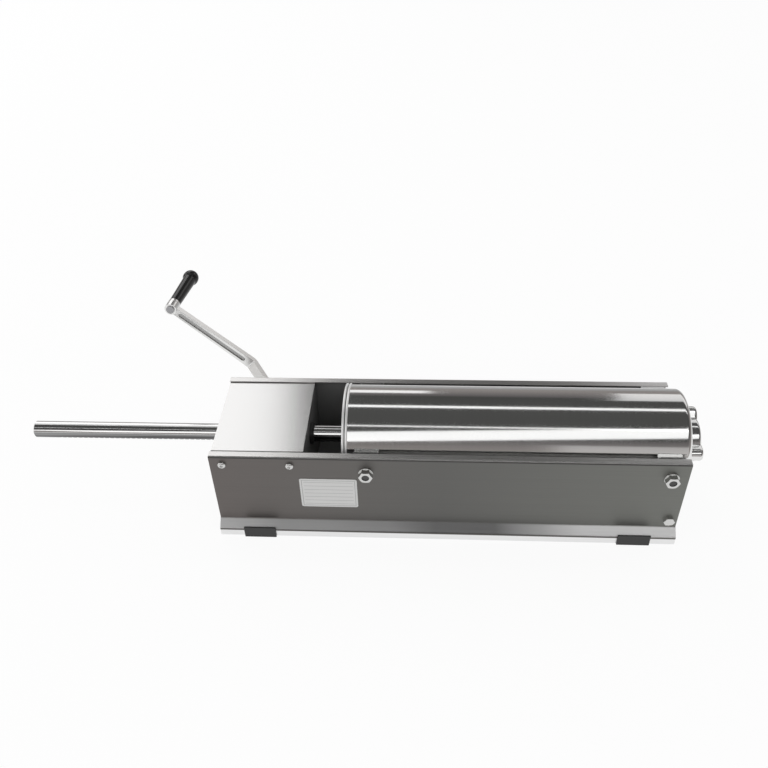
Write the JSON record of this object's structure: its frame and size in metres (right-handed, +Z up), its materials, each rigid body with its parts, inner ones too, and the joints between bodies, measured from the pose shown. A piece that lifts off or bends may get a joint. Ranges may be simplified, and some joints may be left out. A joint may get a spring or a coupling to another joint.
{
  "type": "sausage stuffer",
  "caption": "Horizontal crank sausage stuffer: polished meat cylinder in a folded steel trough, rack-driven piston, gearbox, side crank and ring nut outlet.",
  "frame": {"origin": "on the table under the middle of the outer box, with the rack rod and crank as in the picture", "axes": "+X towards the outlet, +Y towards the crank side, +Z up"},
  "size_m": [0.9442, 0.3477, 0.2381],
  "materials": {
    "wall_steel": "brushed along the length, satin",
    "cover_steel": "fine brushed, bright",
    "polished_steel": "polished stainless steel",
    "rod_chrome": "hard chrome, ground",
    "black_coat": "black powder coat, satin",
    "plate_silver": "matt anodised, blank",
    "foot_rubber": "moulded black rubber",
    "fastener_zinc": "bright zinc plate",
    "bush_bronze": "turned bronze",
    "bush_plastic": "turned black plastic",
    "gear_steel": "machined, oiled",
    "crank_steel": "forged and polished, bright",
    "grip_plastic": "moulded black, gloss",
    "piston_plastic": "food grade white plastic"
  },
  "bodies": {
    "frame": {"near_side_panel": "wall_steel", "far_side_panel": "wall_steel", "floor_pan": "wall_steel", "gearbox_cover": "cover_steel", "rear_end_plate": "wall_steel", "gearbox_bulkhead": "black_coat", "front_apron": "wall_steel", "trough_liner": "black_coat", "data_plate": "plate_silver", "rubber_feet": "foot_rubber", "rear_cradle": "polished_steel", "front_cradle": "polished_steel", "cradle_studs": "fastener_zinc", "cradle_spacers": "fastener_zinc", "cradle_washers": "fastener_zinc", "cradle_nuts": "fastener_zinc", "cover_bolts": "fastener_zinc", "cover_nuts": "fastener_zinc", "apron_bolts": "fastener_zinc", "apron_nuts": "fastener_zinc", "meat_cylinder": "polished_steel", "cylinder_stop": "polished_steel", "outlet_neck": "polished_steel", "rear_rod_bush": "bush_plastic", "front_rod_bush": "bush_plastic", "near_bearing_plate": "gear_steel", "far_bearing_plate": "gear_steel", "bearing_plate_screws": "fastener_zinc", "bearing_plate_nuts": "fastener_zinc", "shaft_bushes": "bush_bronze", "shaft_bezels": "grip_plastic"},
    "ram": {"rack_rod": "rod_chrome", "piston": "piston_plastic", "piston_seals": "foot_rubber", "piston_washer": "fastener_zinc", "piston_bolt": "fastener_zinc"},
    "drive": {"drive_shaft": "gear_steel", "drive_pinion": "gear_steel", "drive_gear": "gear_steel", "drive_pins": "fastener_zinc", "crank_arm": "crank_steel", "crank_set_screw": "fastener_zinc", "grip_spindle": "gear_steel", "grip_ferrule": "crank_steel"},
    "slow": {"slow_shaft": "gear_steel", "slow_pinion": "gear_steel", "slow_pin": "fastener_zinc"},
    "grip": {"crank_grip": "grip_plastic"},
    "nut_seal": {"nut_gasket": "piston_plastic"},
    "outlet_nut": {"ring_nut": "polished_steel"}
  },
  "joints": [
    {"name": "crank_turn", "type": "hinge", "parent": "frame", "child": "drive", "pos_m": [-0.14205, 0.0326, 0.089], "axis": [0, 1, 0], "range_deg": [-718, 1038]},
    {"name": "ram_slide", "type": "slide", "parent": "frame", "child": "ram", "axis": [1, 0, 0], "range_m": [-0.188, 0.272]},
    {"name": "slow_turn", "type": "hinge", "parent": "frame", "child": "slow", "pos_m": [-0.10222, -0.0744, 0.05557], "axis": [0, 1, 0], "range_deg": [-3120, 2160]},
    {"name": "grip_spin", "type": "hinge", "parent": "drive", "child": "grip", "pos_m": [-0.28519, 0.0706, 0.22868], "axis": [0.0748, 0.9945, -0.073], "continuous": true},
    {"name": "gasket_draw", "type": "slide", "parent": "frame", "child": "nut_seal", "axis": [1, 0, 0], "range_m": [0, 0.0136]},
    {"name": "nut_turn", "type": "hinge", "parent": "nut_seal", "child": "outlet_nut", "pos_m": [0.46195, -0.0744, 0.1125], "axis": [1, 0, 0], "range_deg": [0, 1620]}
  ],
  "couplings": [
    {"joint": "ram_slide", "follows": "crank_turn", "m_per_rad": 0.015},
    {"joint": "slow_turn", "follows": "crank_turn", "ratio": -3},
    {"joint": "gasket_draw", "follows": "nut_turn", "m_per_rad": 0.00047746}
  ]
}
